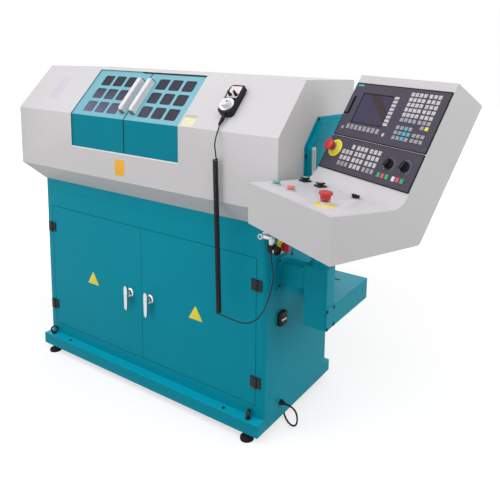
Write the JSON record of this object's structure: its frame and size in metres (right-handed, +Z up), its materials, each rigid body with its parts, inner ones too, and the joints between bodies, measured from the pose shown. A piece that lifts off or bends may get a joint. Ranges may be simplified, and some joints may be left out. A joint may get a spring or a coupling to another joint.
{
  "type": "cnc turning lathe",
  "caption": "Enclosed CNC turning lathe: cabinet on rails, hood with sliding window doors, working area inside, operator console on a swivel arm and a hand-wheel pendant.",
  "frame": {"origin": "on the floor below the middle of the machine's box, measured without its cords", "axes": "+Z up, +X to the right as the operator sees it, +Y to the back; the front faces -Y"},
  "size_m": [1.9684, 1.0022, 1.353],
  "materials": {
    "teal_paint": "satin powder coat",
    "offwhite_paint": "satin powder coat",
    "black_rubber": "matte",
    "black_steel": "satin",
    "chromed": "polished",
    "grey_steel": "matte",
    "grey_iron": "painted and ground",
    "bright_steel": "ground",
    "pane": "tinted safety glass",
    "white_plastic": "fine texture",
    "panel_paint": "dark front foil on aluminium",
    "desk_foil": "light front foil on aluminium",
    "green_plastic": "gloss",
    "red_plastic": "gloss",
    "black_plastic": "fine texture",
    "yellow_paint": "smooth",
    "socket_metal": "die cast"
  },
  "bodies": {
    "machine": {"cabinet": "teal_paint", "base_rails": "teal_paint", "levelling_feet": "black_rubber", "lifting_eyes": "black_steel", "cabinet_hinges": "black_steel", "chip_tray": "teal_paint", "electrical_panel": "grey_steel", "bed": "grey_iron", "headstock": "grey_iron", "hood_shell": "offwhite_paint", "hood_end_cover": "teal_paint", "support_arm": "teal_paint", "side_box": "teal_paint", "main_switch_plate": "yellow_paint", "interface_box": "black_plastic", "pendant_socket": "socket_metal", "pendant_body": "black_plastic", "mains_gland": "black_plastic", "pendant_plug": "black_plastic", "pendant_lead": "black_rubber", "pendant_curly_cord": "black_rubber", "pendant_cord_loop": "black_rubber", "mains_cord": "black_rubber", "mains_cord_coil": "black_rubber", "mains_plug": "black_rubber"},
    "door_left": {"cabinet_door_left": "teal_paint"},
    "door_right": {"cabinet_door_right": "teal_paint"},
    "latch_left": {"latch_lever_left": "chromed"},
    "latch_right": {"latch_lever_right": "chromed"},
    "spindle": {"spindle_and_chuck": "bright_steel"},
    "saddle": {"saddle": "grey_iron"},
    "screw": {"ball_screw": "bright_steel"},
    "cross_slide": {"cross_slide": "grey_iron"},
    "turret": {"turret_disc": "bright_steel"},
    "tailstock": {"tailstock": "grey_iron"},
    "quill": {"tailstock_quill": "bright_steel"},
    "sliding_door_left": {"slider_left": "teal_paint", "slider_panes_left": "pane", "slider_handle_left": "white_plastic"},
    "sliding_door_right": {"slider_right": "teal_paint", "slider_panes_right": "pane", "slider_handle_right": "white_plastic"},
    "main_switch": {"main_switch_knob": "red_plastic"},
    "handwheel": {"pendant_handwheel": "chromed"},
    "pendant_selector_left": {"pendant_knob_left": "black_plastic"},
    "pendant_selector_right": {"pendant_knob_right": "black_plastic"},
    "console": {"console_pivot": "offwhite_paint", "console_shell": "offwhite_paint", "desk_plate": "desk_foil", "operator_panels": "panel_paint", "panel_keys": "white_plastic"},
    "push_green": {"button_green": "green_plastic"},
    "push_red": {"button_red": "red_plastic"},
    "push_black_left": {"button_black_left": "black_plastic"},
    "push_black_right": {"button_black_right": "black_plastic"},
    "stop_desk": {"estop_desk": "red_plastic"},
    "stop_panel": {"estop_panel": "red_plastic"},
    "key": {"key_switch": "black_plastic"},
    "override_left": {"override_feed": "black_plastic"},
    "override_right": {"override_spindle": "black_plastic"}
  },
  "joints": [
    {"name": "door_left_hinge", "type": "hinge", "parent": "machine", "child": "door_left", "pos_m": [-0.86668, -0.09131, 0.405], "axis": [0, 0, 1], "range_deg": [-110, 0]},
    {"name": "door_right_hinge", "type": "hinge", "parent": "machine", "child": "door_right", "pos_m": [0.28482, -0.09131, 0.405], "axis": [0, 0, 1], "range_deg": [0, 110], "deforming": ["pendant_curly_cord", "pendant_cord_loop"]},
    {"name": "latch_left_turn", "type": "hinge", "parent": "door_left", "child": "latch_left", "pos_m": [-0.36018, -0.08531, 0.406], "axis": [0, 1, 0], "range_deg": [0, 90]},
    {"name": "latch_right_turn", "type": "hinge", "parent": "door_right", "child": "latch_right", "pos_m": [-0.24518, -0.08531, 0.406], "axis": [0, 1, 0], "range_deg": [-90, 0]},
    {"name": "spindle_spin", "type": "hinge", "parent": "machine", "child": "spindle", "pos_m": [-0.67818, 0.12969, 1.02], "axis": [1, 0, 0], "continuous": true},
    {"name": "saddle_slide", "type": "slide", "parent": "machine", "child": "saddle", "axis": [1, 0, 0], "range_m": [-0.2, 0.02]},
    {"name": "screw_spin", "type": "hinge", "parent": "machine", "child": "screw", "pos_m": [-0.17818, 0.12969, 0.87], "axis": [1, 0, 0], "continuous": true},
    {"name": "cross_slide_travel", "type": "slide", "parent": "saddle", "child": "cross_slide", "axis": [0, 1, 0], "range_m": [-0.06, 0.02]},
    {"name": "turret_index", "type": "hinge", "parent": "cross_slide", "child": "turret", "pos_m": [-0.26818, 0.24969, 1.037], "axis": [1, 0, 0], "continuous": true},
    {"name": "tailstock_slide", "type": "slide", "parent": "machine", "child": "tailstock", "axis": [1, 0, 0], "range_m": [-0.03, 0.11]},
    {"name": "quill_travel", "type": "slide", "parent": "tailstock", "child": "quill", "axis": [1, 0, 0], "range_m": [-0.03, 0]},
    {"name": "sliding_door_left_travel", "type": "slide", "parent": "machine", "child": "sliding_door_left", "axis": [1, 0, 0], "range_m": [-0.27, 0]},
    {"name": "sliding_door_right_travel", "type": "slide", "parent": "machine", "child": "sliding_door_right", "axis": [1, 0, 0], "range_m": [0, 0.23]},
    {"name": "main_switch_turn", "type": "hinge", "parent": "machine", "child": "main_switch", "pos_m": [0.33182, 0.00669, 0.725], "axis": [1, 0, 0], "range_deg": [0, 90]},
    {"name": "handwheel_spin", "type": "hinge", "parent": "machine", "child": "handwheel", "pos_m": [0.15732, -0.10093, 1.24066], "axis": [0, -0.7169, 0.6972], "continuous": true},
    {"name": "pendant_selector_left_turn", "type": "hinge", "parent": "machine", "child": "pendant_selector_left", "pos_m": [0.14982, -0.07061, 1.27185], "axis": [0, -0.7169, 0.6972], "range_deg": [-60, 60]},
    {"name": "pendant_selector_right_turn", "type": "hinge", "parent": "machine", "child": "pendant_selector_right", "pos_m": [0.17432, -0.06921, 1.27328], "axis": [0, -0.7169, 0.6972], "range_deg": [-60, 60]},
    {"name": "console_swivel", "type": "hinge", "parent": "machine", "child": "console", "pos_m": [0.47282, 0.03469, 0.685], "axis": [0, 0, 1], "range_deg": [-2, 40]},
    {"name": "push_green_press", "type": "slide", "parent": "console", "child": "push_green", "axis": [0.028, 0.0608, 0.9978], "range_m": [-0.003, 0], "stiffness_N_per_m": 600, "springref_m": 0.002},
    {"name": "push_red_press", "type": "slide", "parent": "console", "child": "push_red", "axis": [0.028, 0.0608, 0.9978], "range_m": [-0.003, 0], "stiffness_N_per_m": 600, "springref_m": 0.002},
    {"name": "push_black_left_press", "type": "slide", "parent": "console", "child": "push_black_left", "axis": [0.028, 0.0608, 0.9978], "range_m": [-0.003, 0], "stiffness_N_per_m": 600, "springref_m": 0.002},
    {"name": "push_black_right_press", "type": "slide", "parent": "console", "child": "push_black_right", "axis": [0.028, 0.0608, 0.9978], "range_m": [-0.003, 0], "stiffness_N_per_m": 600, "springref_m": 0.002},
    {"name": "stop_desk_press", "type": "slide", "parent": "console", "child": "stop_desk", "axis": [0.028, 0.0608, 0.9978], "range_m": [-0.004, 0]},
    {"name": "stop_panel_press", "type": "slide", "parent": "console", "child": "stop_panel", "axis": [-0.3612, -0.7852, 0.503], "range_m": [-0.0035, 0]},
    {"name": "key_turn", "type": "hinge", "parent": "console", "child": "key", "pos_m": [0.70656, -0.19609, 1.0136], "axis": [0.028, 0.0608, 0.9978], "range_deg": [0, 90]},
    {"name": "override_left_turn", "type": "hinge", "parent": "console", "child": "override_left", "pos_m": [0.77158, -0.10978, 1.10735], "axis": [-0.3612, -0.7852, 0.503], "range_deg": [-140, 140]},
    {"name": "override_right_turn", "type": "hinge", "parent": "console", "child": "override_right", "pos_m": [0.8299, -0.13495, 1.10994], "axis": [-0.3612, -0.7852, 0.503], "range_deg": [-140, 140]}
  ],
  "couplings": [
    {"joint": "screw_spin", "follows": "saddle_slide", "rad_per_m": 628.32}
  ]
}
